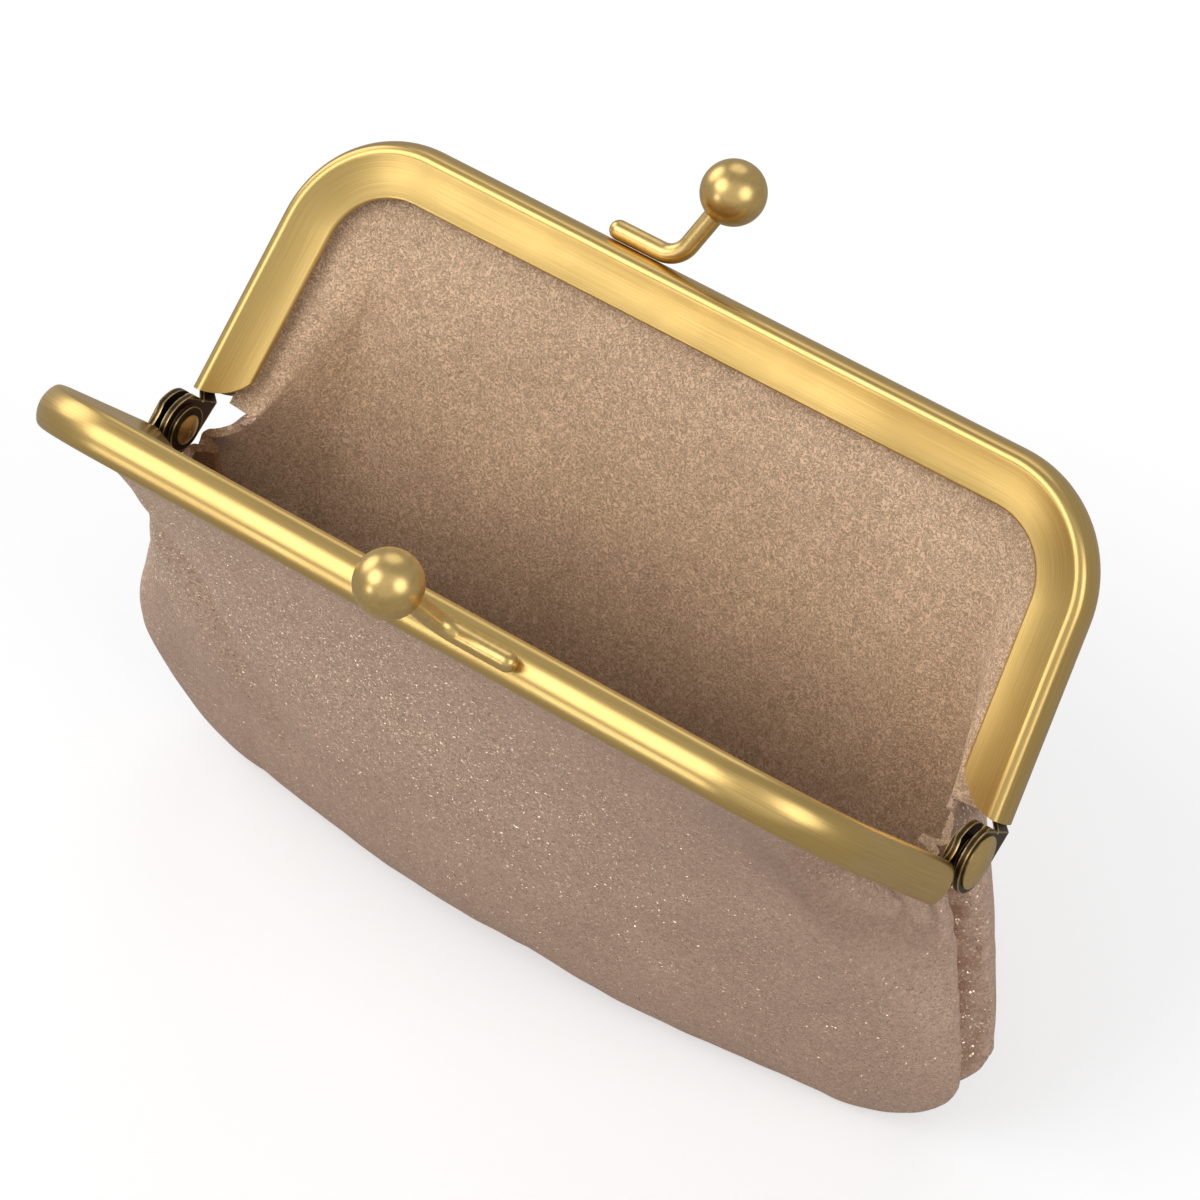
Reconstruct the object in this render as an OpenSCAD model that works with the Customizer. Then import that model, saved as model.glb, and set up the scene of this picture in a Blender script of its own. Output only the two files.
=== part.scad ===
// Kiss lock frame purse, standing open. Millimetres, Z up.
// The origin lies on the ground under the middle of the hinge axis, X runs along that axis.

/* [Frame] */
// Distance between the crest lines of the two arms, at the hinge axis
frame_w = 123; // [105:1:140]
// Height of the crest line of the top bar above the hinge axis
frame_h = 44.8; // [38:0.2:56]
// How far each arm leans inwards, in degrees
arm_lean = 4; // [2:0.5:7]
// Radius of the crest line at the two upper corners
corner_r = 15; // [11:0.5:19]
// Thickness of the brass sheet
sheet_t = 0.6; // [0.4:0.05:0.8]
// Depth of the channel, from its crest to its outer wall
channel_d = 5.8; // [5.2:0.1:7]
// Width of the channel, from the crest line to the mouth
flange_w = 5.8; // [5:0.1:7]
// Radius of the rolled crest and of the rolled outer edge
roll_r = 1.3; // [1:0.05:1.6]
// How far the spine bulges between the two rolled edges
spine_bulge = 0.45; // [0.3:0.05:0.8]
// Radius of the hollow in the inner wall
cove_r = 8; // [7:0.25:12]
// Direction in which the crest runs out into the hollow, in degrees from level
cove_start = 48; // [42:1:54]
// Distance from the crest to the plane where the two halves would meet, at the hinge
crest_stand = 1.4; // [1:0.05:2.2]
// Height above the hinge axis where the channel starts
channel_start = 5; // [4.8:0.1:6.5]
// Radius that rounds the lower ends of the channel walls
end_r = 8; // [7:0.25:10]

/* [Opening] */
// Tilt of the front half when the purse stands open, in degrees
front_tilt = 37.5; // [25:0.5:45]
// Tilt of the back half when the purse stands open, in degrees
back_tilt = 44.5; // [25:0.5:48]

/* [Hinge] */
// Diameter of the round knuckle of each leaf
knuckle_d = 8.7; // [8:0.1:9]
// Thickness of a leaf
leaf_t = 0.8; // [0.6:0.05:1]
// Width of the strip that lies in the channel
leaf_w = 2.8; // [2.2:0.1:3]
// Height above the hinge axis where the strip ends
leaf_top = 11.5; // [10:0.25:14]
// Distance from the crest line to the strip's outer face, measured outwards
leaf_set_out = 0.7; // [0.4:0.05:0.75]
// Diameter of the rivet's shank
rivet_d = 2.6; // [2:0.1:3.2]
// Diameter of the rivet's domed head
head_d = 7.2; // [5.5:0.1:8]
// Height of the domed head
head_h = 0.9; // [0.6:0.05:1.4]
// Diameter of the rivet's peened inner end
peen_d = 4.2; // [3.8:0.1:5]
// Height of the peened inner end
peen_h = 0.6; // [0.4:0.05:0.9]
// Diameter of the spacer between the two leaves
spacer_d = 5; // [4.4:0.1:6]
// Thickness of the spacer
spacer_t = 1; // [0.7:0.05:1.2]
// Diameter of the washer under the peened end
washer_d = 6.4; // [5.5:0.1:7]
// Thickness of that washer
washer_t = 0.6; // [0.4:0.05:0.8]
// Radial play between the rivet and what turns on it
pin_play = 0.05; // [0.03:0.01:0.08]
// Play between neighbouring faces of the hinge stack
face_play = 0.05; // [0.03:0.01:0.1]

/* [Clasp] */
// Diameter of each ball
ball_d = 8.5; // [7:0.1:10]
// Height of the ball's centre above the crest line of the bar
ball_rise = 13.8; // [11:0.2:17]
// Distance of the ball's centre from the meeting plane
ball_set_back = 2.6; // [1:0.1:3.5]
// Gap between the two balls as they pass
ball_gap = 0.15; // [0.1:0.05:0.5]
// Diameter of the clasp wire
wire_d = 2.6; // [2:0.1:3.2]
// Distance from the middle of the bar to the outer end of the wire's foot
foot_out = 18.5; // [15:0.5:24]
// Angle between the neck and the bar, in degrees
neck_angle = 70; // [60:1:80]
// Radius of the wire's centre line in the bend
bend_r = 3.6; // [2.8:0.1:4.5]
// Depth of the wire's end in the ball
socket_depth = 2.4; // [1.5:0.1:3]
// Gap that the solder fills under the foot and round the wire's end
solder_gap = 0.05; // [0.03:0.01:0.1]

/* [Bag] */
// Thickness of the hide
hide_t = 1.2; // [0.8:0.05:1.4]
// Height of the hinge axis above the ground
hinge_h = 55.5; // [46:0.5:64]
// How far the soft base has been pressed flat by its own weight
base_press = 2; // [1:0.1:3]
// How far each side of the bag stands out past the crest line of the arm at the hinge
side_out = 2.8; // [0:0.1:8]
// Distance from that crest line inwards to the top of each side seam
seam_top_in = 5.1; // [4.5:0.1:8]
// Depth of the top of the side seam below the hinge axis
seam_top_drop = 1; // [0.5:0.1:3]
// Radius of the bag's lower corners
bag_corner_r = 17.3; // [12:0.1:24]
// Gap between the mouth of the channel and the swinging part of the panel
mouth_gap = 0.3; // [0.3:0.05:0.5]
// Diameter of the paper cord that wedges the hide
paper_cord_d = 1.5; // [1:0.1:1.6]
// Gap between the cord, the hide and the walls of the channel
grip_gap = 0.08; // [0.05:0.01:0.15]

/* [Hidden] */

// Small excess that lets cutting shapes pass through what they cut
cut = 1;
$fn = 96;

// Section of the channel, in the plane (w, m): w runs inwards from the crest line,
// m runs outwards from the plane where the two halves would meet
roll_gap = channel_d / 2 - roll_r;
mid_m = crest_stand + channel_d / 2;
wall_m = crest_stand + channel_d;
spine_reach = roll_r + spine_bulge;
spine_r = (pow(spine_reach, 2) + pow(roll_gap, 2) - pow(roll_r, 2)) / (2 * spine_bulge);
spine_w = spine_r - spine_reach;
spine_half_angle = asin(roll_gap / (spine_r - roll_r));
crest_m = mid_m - roll_gap;
outer_roll_m = mid_m + roll_gap;
cove = [(roll_r + cove_r) * sin(cove_start), crest_m - (roll_r + cove_r) * cos(cove_start)];

// Outline of the crest line, in the plane (p, q): p runs along the bar, q up from the hinge axis
half_w = frame_w / 2;
corner_q = frame_h - corner_r;
corner_p = half_w - tan(arm_lean) * corner_q - corner_r / cos(arm_lean);
arm_len = corner_q / cos(arm_lean) + corner_r * tan(arm_lean);
function crest_p(q) = half_w - tan(arm_lean) * q;
function unit(v) = v / norm(v);

// Hinge stack, outwards from the middle of the spacer
inner_leaf_x = half_w - spacer_t / 2 - face_play - leaf_t;
outer_leaf_x = half_w + spacer_t / 2 + face_play;
washer_x = inner_leaf_x - face_play - washer_t;
head_x = outer_leaf_x + leaf_t + face_play;

// Clasp, with its foot on the spine and its neck leaning towards the other half
foot_q = frame_h + spine_reach + solder_gap + wire_d / 2;
ball_p = (ball_d + ball_gap) / 2;
ball_q = frame_h + ball_rise;
clasp_lean = atan2(mid_m - ball_set_back, ball_q - foot_q);
ball_v = norm([ball_q - foot_q, mid_m - ball_set_back]);
bend_run = bend_r * tan(neck_angle / 2);
bend_start = ball_p + ball_v / tan(neck_angle) + bend_run;
neck_len = ball_v / sin(neck_angle) - bend_run;

// The hide lies on the channel's outer wall, and the paper cord fills the space above it
hide_m = wall_m - sheet_t - grip_gap - hide_t / 2;
cord_m = hide_m - hide_t / 2 - grip_gap - paper_cord_d / 2;
cord_reach = cove_r + sheet_t + grip_gap + paper_cord_d / 2;
cord_w = cove[0] - sqrt(pow(cord_reach, 2) - pow(cord_m - cove[1], 2));
grip_start = leaf_top + 0.8;

// Each panel hangs from the mouth of its channel down to the seam, which lies in the plane y = 0
side_x = half_w + side_out;
seam_top_x = half_w - seam_top_in;
mouth_w = flange_w + mouth_gap;
mouth_r = corner_r - mouth_w;
seam_bottom = -hinge_h - base_press + hide_t / 2;
seam_straight = -seam_top_drop - seam_bottom - bag_corner_r;
mouth_arm = arm_len - channel_start / cos(arm_lean);
mouth_arc = mouth_r * (90 - arm_lean) * PI / 180;
mouth_half = mouth_arm + mouth_arc + corner_p;
seam_arc = bag_corner_r * PI / 2;
seam_half = seam_straight + seam_arc + side_x - bag_corner_r;

// Sides of the clasp wire and steps round its bend
WIRE_SIDES = 24;
WIRE_BEND_STEPS = 8;
// Steps of a panel along its mouth and down to its seam, closer together near the seam
MOUTH_STEPS = 40;
DROP_STEPS = 10;
DROP_EASE = 1.35;
// How strongly the hide leaves the mouth inwards, outwards and downwards
LEAVE = [0.66, -0.19, 0.7];
// How far it keeps that direction, as a share of the way to the seam
LEAVE_REACH = 0.33;
// How far it lies level beside the middle of the bottom seam, as a share of that way,
// and how much less at the seam's ends
BASE_REACH = 0.25;
BASE_TAPER = 0.5;
// How far it swells beside the side seams, and how strongly it turns outwards there
SWELL = 8.1;
SWELL_TURN = 0.77;
// Length over which the swelling grows below the hinge
SWELL_LENGTH = 25;
// Power that bends the side seams outwards below the hinge
SEAM_BEND = 1.1;

brass = [0.84, 0.71, 0.42];
hide = [0.65, 0.55, 0.49];
suede = [0.72, 0.61, 0.5];
paper = [0.78, 0.68, 0.52];

// Points of an arc from angle a0 to angle a1
function arc(centre, r, a0, a1, steps) =
    [for (i = [0 : steps])
        let (a = a0 + (a1 - a0) * i / steps)
            centre + r * [cos(a), sin(a)]];

// Outer side of the bent sheet from the outer wall round the spine and crest to the mouth,
// or its inner side, the given depth below
function channel_side(depth) =
    let (r = roll_r - depth,
        reach = cove_r + depth,
        turn = spine_half_angle,
        cove_end = 180 - acos((cove[0] - flange_w) / reach))
        concat(
            [[flange_w, wall_m - depth]],
            arc([0, outer_roll_m], r, 90, 180 - turn, 6),
            arc([spine_w, mid_m], spine_r - depth, 180 - turn, 180 + turn, 8),
            arc([0, crest_m], r, 180 + turn, 270 + cove_start, 14),
            arc(cove, reach, 90 + cove_start, cove_end, 7));

// Bent sheet of the channel, open at its mouth
module channel_section() {
    far = channel_side(sheet_t);
    polygon(concat(channel_side(0), [for (i = [len(far) - 1 : -1 : 0]) far[i]]));
}

// Right half of a run along the crest line, from the given height up to the middle of the bar
module half_run(start_q) {
    translate([corner_p, corner_q, 0])
        rotate([0, 0, arm_lean]) {
            rotate([90, 0, 0])
                linear_extrude(arm_len - start_q / cos(arm_lean))
                    translate([corner_r, 0])
                        mirror([1, 0])
                            children();
            rotate_extrude(angle = 90 - arm_lean)
                translate([corner_r, 0])
                    mirror([1, 0])
                        children();
        }
    translate([0, corner_q, 0])
        rotate([90, 0, 90])
            linear_extrude(corner_p)
                translate([corner_r, 0])
                    mirror([1, 0])
                        children();
}

// Whole run along the crest line of a half: x along the bar, y up, z outwards
module full_run(start_q) {
    half_run(start_q)
        children();
    mirror([1, 0, 0])
        half_run(start_q)
            children();
}

// Cuts the lower end of the right arm square at the spine and round across its walls
module end_cutter() {
    rim = [crest_p(channel_start) + spine_reach / 2, channel_start + end_r];
    translate([0, 0, -cut])
        linear_extrude(wall_m + 2 * cut)
            difference() {
                translate(rim - [2 * end_r, 2 * end_r])
                    square([3 * end_r, 2 * end_r]);
                translate(rim)
                    circle(end_r);
                translate([rim[0], channel_start])
                    square(end_r + cut);
            }
}

module frame_half() {
    difference() {
        full_run(0)
            channel_section();
        end_cutter();
        mirror([1, 0, 0])
            end_cutter();
    }
}

// Outline of a leaf seen along the hinge axis, in the plane (q, m)
module leaf_outline() {
    knuckle_r = knuckle_d / 2;
    strip_in = mid_m - leaf_w / 2;
    strip_out = mid_m + leaf_w / 2;
    circle(knuckle_r);
    polygon([knuckle_r * [cos(105), sin(105)], knuckle_r * [cos(30), sin(30)],
        [channel_start, strip_in], [channel_start, strip_out], [channel_start - 1, strip_out]]);
    translate([channel_start, strip_in])
        square([leaf_top - leaf_w / 2 - channel_start, leaf_w]);
    translate([leaf_top - leaf_w / 2, mid_m])
        circle(leaf_w / 2);
}

// Edge view of a leaf, in the plane (p, q): flat at its knuckle, then set over into the channel
module leaf_edge(disc_x) {
    bend_q = channel_start - 1;
    strip_x = crest_p(channel_start) + leaf_set_out - leaf_t;
    top_x = crest_p(leaf_top) + leaf_set_out - leaf_t;
    polygon([[disc_x, -knuckle_d], [disc_x, bend_q], [strip_x, channel_start], [top_x, leaf_top],
        [top_x + leaf_t, leaf_top], [strip_x + leaf_t, channel_start], [disc_x + leaf_t, bend_q],
        [disc_x + leaf_t, -knuckle_d]]);
}

// Leaf of the right arm of a half, bored for the rivet
module leaf(disc_x) {
    difference() {
        intersection() {
            translate([0, 0, -knuckle_d])
                linear_extrude(wall_m + 2 * knuckle_d)
                    leaf_edge(disc_x);
            translate([disc_x - knuckle_d, 0, 0])
                rotate([90, 0, 90])
                    linear_extrude(2 * knuckle_d)
                        leaf_outline();
        }
        translate([disc_x - cut, 0, 0])
            rotate([0, 90, 0])
                cylinder(d = rivet_d + 2 * pin_play, h = leaf_t + 2 * cut);
    }
}

// Low dome of the given diameter and height over a thin rim
module dome(d, h) {
    rim = h / 4;
    rise = h - rim;
    dome_r = (pow(d / 2, 2) + pow(rise, 2)) / (2 * rise);
    rotate_extrude() {
        square([d / 2, rim]);
        intersection() {
            translate([0, h - dome_r])
                circle(dome_r);
            translate([0, rim])
                square([d / 2, rise]);
        }
    }
}

// Places a piece that is drawn along z on the hinge axis, from x outwards on the right side
module on_axis(x) {
    translate([x, 0, hinge_h])
        rotate([0, 90, 0])
            children();
}

module rivet() {
    on_axis(washer_x - face_play)
        cylinder(d = rivet_d, h = head_x - washer_x + face_play);
    on_axis(head_x)
        dome(head_d, head_h);
    on_axis(washer_x - face_play)
        mirror([0, 0, 1])
            dome(peen_d, peen_h);
}

module ring(d, t) {
    difference() {
        cylinder(d = d, h = t);
        translate([0, 0, -cut])
            cylinder(d = rivet_d + 2 * pin_play, h = t + 2 * cut);
    }
}

module spacer() {
    on_axis(half_w - spacer_t / 2)
        ring(spacer_d, spacer_t);
}

module washer() {
    on_axis(washer_x)
        ring(washer_d, washer_t);
}

// Draws in the clasp's own plane: x along the bar, y along the neck's lean
module clasp_plane() {
    translate([0, foot_q, mid_m])
        rotate([-clasp_lean, 0, 0])
            children();
}

// Centre line of the clasp wire with its radius: the foot from its rounded end, the bend, the neck
function wire_line() =
    let (r = wire_d / 2,
        end_x = foot_out - r,
        neck_dir = [-cos(neck_angle), sin(neck_angle), 0],
        bend_end = [bend_start - bend_r * sin(neck_angle), bend_r * (1 - cos(neck_angle)), 0],
        neck_end = bend_end + (neck_len - ball_d / 2 + socket_depth) * neck_dir)
        concat(
            [for (a = [75 : -25 : 0]) [end_x + r * sin(a), 0, 0, r * cos(a)]],
            [for (i = [0 : WIRE_BEND_STEPS])
                let (a = neck_angle * i / WIRE_BEND_STEPS)
                    [bend_start - bend_r * sin(a), bend_r * (1 - cos(a)), 0, r]],
            [[neck_end[0], neck_end[1], 0, r]]);

// Closed tube of round rings about a line in the plane z = 0, each [x, y, z, radius]
module tube(line) {
    last = len(line) - 1;
    rings = [for (i = [0 : last])
        let (back = line[max(i - 1, 0)],
            ahead = line[min(i + 1, last)],
            along = unit([ahead[0] - back[0], ahead[1] - back[1], 0]),
            across = [-along[1], along[0], 0],
            middle = [line[i][0], line[i][1], 0])
            for (k = [0 : WIRE_SIDES - 1])
                let (a = 360 * k / WIRE_SIDES)
                    middle + line[i][3] * (cos(a) * across + sin(a) * [0, 0, 1])];
    walls = [for (i = [0 : last - 1]) for (k = [0 : WIRE_SIDES - 1])
        let (a = i * WIRE_SIDES + k,
            b = i * WIRE_SIDES + (k + 1) % WIRE_SIDES)
            [a, a + WIRE_SIDES, b + WIRE_SIDES, b]];
    caps = [[for (k = [0 : WIRE_SIDES - 1]) k],
        [for (k = [WIRE_SIDES - 1 : -1 : 0]) last * WIRE_SIDES + k]];
    polyhedron(rings, concat(walls, caps), 4);
}

module clasp_arm() {
    clasp_plane()
        tube(wire_line());
}

// Ball with a blind socket for the end of the wire
module clasp_ball() {
    clasp_plane()
        translate([ball_p, ball_v, 0])
            difference() {
                sphere(d = ball_d);
                rotate([0, 0, -neck_angle])
                    rotate([0, 90, 0])
                        translate([0, 0, ball_d / 2 - socket_depth - solder_gap])
                            cylinder(d = wire_d + 2 * solder_gap, h = socket_depth + ball_d);
            }
}

module paper_cord() {
    full_run(grip_start)
        translate([cord_w, cord_m])
            circle(d = paper_cord_d);
}

// Edge of the hide that the channel grips
module hide_edge() {
    edge_w = cord_w - paper_cord_d / 2;
    full_run(grip_start)
        translate([edge_w, hide_m - hide_t / 2])
            square([flange_w - edge_w, hide_t]);
}

module front_half_place() {
    translate([0, 0, hinge_h])
        rotate([90 + front_tilt, 0, 0])
            children();
}

module back_half_place() {
    translate([0, 0, hinge_h])
        rotate([0, 0, 180])
            rotate([90 + back_tilt, 0, 0])
                children();
}

// Point on the mouth's right half, d from the lower end of the arm, with its outward direction
function mouth_point(d) =
    d < mouth_arm ?
        [corner_p + mouth_r * cos(arm_lean) + (mouth_arm - d) * sin(arm_lean),
            corner_q + mouth_r * sin(arm_lean) - (mouth_arm - d) * cos(arm_lean),
            cos(arm_lean), sin(arm_lean)] :
    d < mouth_arm + mouth_arc ?
        let (a = arm_lean + (d - mouth_arm) / mouth_r * 180 / PI)
            [corner_p + mouth_r * cos(a), corner_q + mouth_r * sin(a), cos(a), sin(a)] :
        [mouth_half - d, corner_q + mouth_r, 0, 1];

// Point on the seam's right half, d below its top, as x and z with its outward direction
function seam_point(d) =
    d < seam_straight ?
        let (rest = 1 - d / seam_straight,
            spread = side_x - seam_top_x,
            slope = spread * SEAM_BEND * pow(rest, SEAM_BEND - 1) / seam_straight,
            out = unit([1, slope]))
            [side_x - spread * pow(rest, SEAM_BEND), -seam_top_drop - d, out[0], out[1]] :
    d < seam_straight + seam_arc ?
        let (a = (d - seam_straight) / bag_corner_r * 180 / PI)
            [side_x - bag_corner_r * (1 - cos(a)), seam_bottom + bag_corner_r * (1 - sin(a)),
                cos(a), -sin(a)] :
        [seam_half - d, seam_bottom, 0, -1];

// Point of a half, given in its own plane, turned to its tilt towards -y about the hinge axis
function tilted(tilt, p, q, m) =
    [p, -q * sin(tilt) - m * cos(tilt), q * cos(tilt) - m * sin(tilt)];

// Middle of the hide: s runs along the mouth from -1 on the left to 1, t from mouth to seam
function hang(tilt, s, t) =
    let (side = s < 0 ? -1 : 1,
        far = 1 - abs(s),
        mp = mouth_point(far * mouth_half),
        sp = seam_point(far * seam_half),
        top = tilted(tilt, mp[0], mp[1], hide_m),
        inwards = tilted(tilt, -mp[2], -mp[3], 0),
        outwards = tilted(tilt, 0, 0, 1),
        foot = [sp[0], 0, sp[1]],
        way = norm(foot - top),
        leave = unit(LEAVE[0] * inwards + LEAVE[1] * outwards - LEAVE[2] * [0, 0, 1]),
        arrive = unit([SWELL_TURN * sp[2], -1, 0]),
        taper = 1 - BASE_TAPER * pow(min(1, sp[0] / (side_x - bag_corner_r)), 2),
        swell = BASE_REACH * taper * way * (1 - sp[2]) + SWELL * sp[2] * min(1, way / SWELL_LENGTH),
        u = 1 - t,
        c1 = top + LEAVE_REACH * way * leave,
        c2 = foot + swell * arrive,
        at = u * u * u * top + 3 * u * u * t * c1 + 3 * u * t * t * c2 + t * t * t * foot)
        [side * at[0], at[1], at[2]];

// Keeps a point of the panel above the ground and on its own side of the seam
function settled(at, low, last) = [at[0], last ? 0 : min(at[1], 0), max(at[2], low)];

// Panel of hide between its mouth and the seam, for a half that tilts towards -y
module panel(tilt) {
    grid = [for (i = [0 : MOUTH_STEPS]) [for (j = [0 : DROP_STEPS])
        hang(tilt, 2 * i / MOUTH_STEPS - 1, 1 - pow(1 - j / DROP_STEPS, DROP_EASE))]];
    outward = [for (i = [0 : MOUTH_STEPS]) [for (j = [0 : DROP_STEPS])
        j == 0 ? tilted(tilt, 0, 0, 1) :
        -unit(cross(grid[min(i + 1, MOUTH_STEPS)][j] - grid[max(i - 1, 0)][j],
            grid[i][min(j + 1, DROP_STEPS)] - grid[i][j - 1]))]];
    skins = [for (k = [1, -1]) for (i = [0 : MOUTH_STEPS]) for (j = [0 : DROP_STEPS])
        settled(grid[i][j] + k * hide_t / 2 * outward[i][j], -hinge_h + (k < 0 ? hide_t : 0),
            j == DROP_STEPS)];
    row = DROP_STEPS + 1;
    skin = (MOUTH_STEPS + 1) * row;
    last = MOUTH_STEPS * row;
    quads = concat(
        [for (i = [0 : MOUTH_STEPS - 1]) for (j = [0 : DROP_STEPS - 1])
            let (a = i * row + j) [a, a + row, a + row + 1, a + 1]],
        [for (i = [0 : MOUTH_STEPS - 1]) for (j = [0 : DROP_STEPS - 1])
            let (a = skin + i * row + j) [a + 1, a + row + 1, a + row, a]],
        [for (i = [0 : MOUTH_STEPS - 1])
            let (a = i * row) [a + row, a, a + skin, a + skin + row]],
        [for (i = [0 : MOUTH_STEPS - 1])
            let (a = i * row + DROP_STEPS) [a, a + row, a + skin + row, a + skin]],
        [for (j = [0 : DROP_STEPS - 1]) [j, j + 1, j + 1 + skin, j + skin]],
        [for (j = [0 : DROP_STEPS - 1])
            let (a = last + j) [a + 1, a, a + skin, a + skin + 1]]);
    translate([0, 0, hinge_h])
        polyhedron(skins, [for (f = quads) for (k = [0, 1]) [f[0], f[k + 1], f[k + 2]]], 4);
}

module front_frame() {
    color(brass)
        front_half_place()
            frame_half();
}

module back_frame() {
    color(brass)
        back_half_place()
            frame_half();
}

module front_left_leaf() {
    color(brass)
        front_half_place()
            mirror([1, 0, 0])
                leaf(outer_leaf_x);
}

module front_right_leaf() {
    color(brass)
        front_half_place()
            leaf(inner_leaf_x);
}

module back_left_leaf() {
    color(brass)
        back_half_place()
            leaf(inner_leaf_x);
}

module back_right_leaf() {
    color(brass)
        back_half_place()
            mirror([1, 0, 0])
                leaf(outer_leaf_x);
}

module left_rivet() {
    color(brass)
        mirror([1, 0, 0])
            rivet();
}

module right_rivet() {
    color(brass)
        rivet();
}

module left_spacer() {
    color(brass)
        mirror([1, 0, 0])
            spacer();
}

module right_spacer() {
    color(brass)
        spacer();
}

module left_washer() {
    color(brass)
        mirror([1, 0, 0])
            washer();
}

module right_washer() {
    color(brass)
        washer();
}

module front_clasp_arm() {
    color(brass)
        front_half_place()
            clasp_arm();
}

module back_clasp_arm() {
    color(brass)
        back_half_place()
            clasp_arm();
}

module front_clasp_ball() {
    color(brass)
        front_half_place()
            clasp_ball();
}

module back_clasp_ball() {
    color(brass)
        back_half_place()
            clasp_ball();
}

module front_paper_cord() {
    color(paper)
        front_half_place()
            paper_cord();
}

module back_paper_cord() {
    color(paper)
        back_half_place()
            paper_cord();
}

module front_hide_edge() {
    color(suede)
        front_half_place()
            hide_edge();
}

module back_hide_edge() {
    color(suede)
        back_half_place()
            hide_edge();
}

module front_panel() {
    color(hide)
        panel(front_tilt);
}

module back_panel() {
    color(hide)
        mirror([0, 1, 0])
            panel(back_tilt);
}

front_frame();
back_frame();
front_left_leaf();
front_right_leaf();
back_left_leaf();
back_right_leaf();
left_rivet();
right_rivet();
left_spacer();
right_spacer();
left_washer();
right_washer();
front_clasp_arm();
back_clasp_arm();
front_clasp_ball();
back_clasp_ball();
front_paper_cord();
back_paper_cord();
front_hide_edge();
back_hide_edge();
front_panel();
back_panel();
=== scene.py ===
import math

import bpy
import numpy as np
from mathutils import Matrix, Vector


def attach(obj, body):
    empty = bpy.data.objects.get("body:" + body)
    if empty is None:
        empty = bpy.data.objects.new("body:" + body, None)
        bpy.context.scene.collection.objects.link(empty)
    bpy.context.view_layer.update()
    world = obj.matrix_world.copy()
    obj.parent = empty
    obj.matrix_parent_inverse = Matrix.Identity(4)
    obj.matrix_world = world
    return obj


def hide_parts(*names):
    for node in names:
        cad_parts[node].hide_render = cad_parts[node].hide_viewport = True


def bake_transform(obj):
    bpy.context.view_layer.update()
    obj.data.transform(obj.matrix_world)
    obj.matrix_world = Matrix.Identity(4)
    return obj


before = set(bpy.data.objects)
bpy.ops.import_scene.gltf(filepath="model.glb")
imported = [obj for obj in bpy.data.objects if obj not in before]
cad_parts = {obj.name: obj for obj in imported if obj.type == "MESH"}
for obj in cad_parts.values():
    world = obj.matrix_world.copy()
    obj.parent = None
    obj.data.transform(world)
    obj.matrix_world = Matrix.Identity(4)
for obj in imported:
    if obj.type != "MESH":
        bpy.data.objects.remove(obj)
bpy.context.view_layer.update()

MM = 0.001

# Driving sizes of the frame, in millimetres and radians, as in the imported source
HALF_W = 61.5
FRAME_H = 44.8
LEAN = math.radians(4)
CORNER_R = 15.0
SHEET_T = 0.6
CHANNEL_D = 5.8
FLANGE_W = 5.8
ROLL_R = 1.3
BULGE = 0.45
CREST_STAND = 1.4
CHANNEL_START = 5.0
END_R = 8.0
FRONT_TILT = math.radians(37.5)
BACK_TILT = math.radians(44.5)
HINGE_H = 55.5
# The channel's inner wall is flatter than the solid's, because the photograph shows an even band there
COVE_R = 35.4
COVE_START = math.radians(18)
# The outer wall runs out into its rolled edge at this distance inwards from the crest line
WALL_END = 0.3
# Radius of the rounded rims of the sheet, and how far inside its corner a rim's middle lies, as a share of it
EDGE_R = 0.14
EDGE_MIDDLE = 0.29

# Driving sizes of the hide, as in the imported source
HIDE_T = 1.2
GRIP_GAP = 0.08
MOUTH_GAP = 0.3
SEAM_TOP_X = 56.4
SEAM_TOP_DROP = 1.0
BASE_PRESS = 2.0
# Beside its seams the hide is drawn in more than the solid, as in the photograph, so the sizes that follow may
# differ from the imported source
SIDE_X = 62.7
SEAM_BEND = 1.03
BAG_CORNER_R = 16.6
# How the hide leaves the mouth: shares of inwards, backwards and down, and the reach as a share of its way
LEAVE_IN = 0.79
LEAVE_BACK = 0.2
LEAVE_DOWN = 0.7
LEAVE_REACH = 0.32
# How it comes to the seam: its turn and swell at the sides, and at the base its swell as a share of its way
SIDE_TURN = 1.8
SIDE_SWELL = 11
BASE_SWELL = 0.25
BASE_TAPER = 0.5
# Height of the ridge beside the seam and depth of the valley behind it, and where they lie from mouth to seam
VALLEY_RIDGE = 0.6
VALLEY_IN = 5.2
RIDGE_AT = 0.8
RIDGE_WIDTH = 0.07
VALLEY_FROM = 0.82
# Where mouth and seam are nearer than this, beside the hinges, swell and valley fade
SHORT_WAY = 25

# Worked out from the driving sizes
ROLL_GAP = CHANNEL_D / 2 - ROLL_R
MID_M = CREST_STAND + CHANNEL_D / 2
WALL_M = CREST_STAND + CHANNEL_D
SPINE_REACH = ROLL_R + BULGE
SPINE_R = (SPINE_REACH ** 2 + ROLL_GAP ** 2 - ROLL_R ** 2) / (2 * BULGE)
SPINE_W = SPINE_R - SPINE_REACH
SPINE_TURN = math.asin(ROLL_GAP / (SPINE_R - ROLL_R))
CREST_M = MID_M - ROLL_GAP
OUTER_ROLL_M = MID_M + ROLL_GAP
COVE_AWAY = ROLL_R + COVE_R
COVE = np.array([COVE_AWAY * math.sin(COVE_START), CREST_M - COVE_AWAY * math.cos(COVE_START)])
CORNER_Q = FRAME_H - CORNER_R
CORNER_P = HALF_W - math.tan(LEAN) * CORNER_Q - CORNER_R / math.cos(LEAN)
ARM_LEN = CORNER_Q / math.cos(LEAN) + CORNER_R * math.tan(LEAN)
HIDE_M = WALL_M - SHEET_T - GRIP_GAP - HIDE_T / 2
MOUTH_W = FLANGE_W + MOUTH_GAP
MOUTH_R = CORNER_R - MOUTH_W
SEAM_BOTTOM = -HINGE_H - BASE_PRESS + HIDE_T / 2
SEAM_STRAIGHT = -SEAM_TOP_DROP - SEAM_BOTTOM - BAG_CORNER_R
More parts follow.
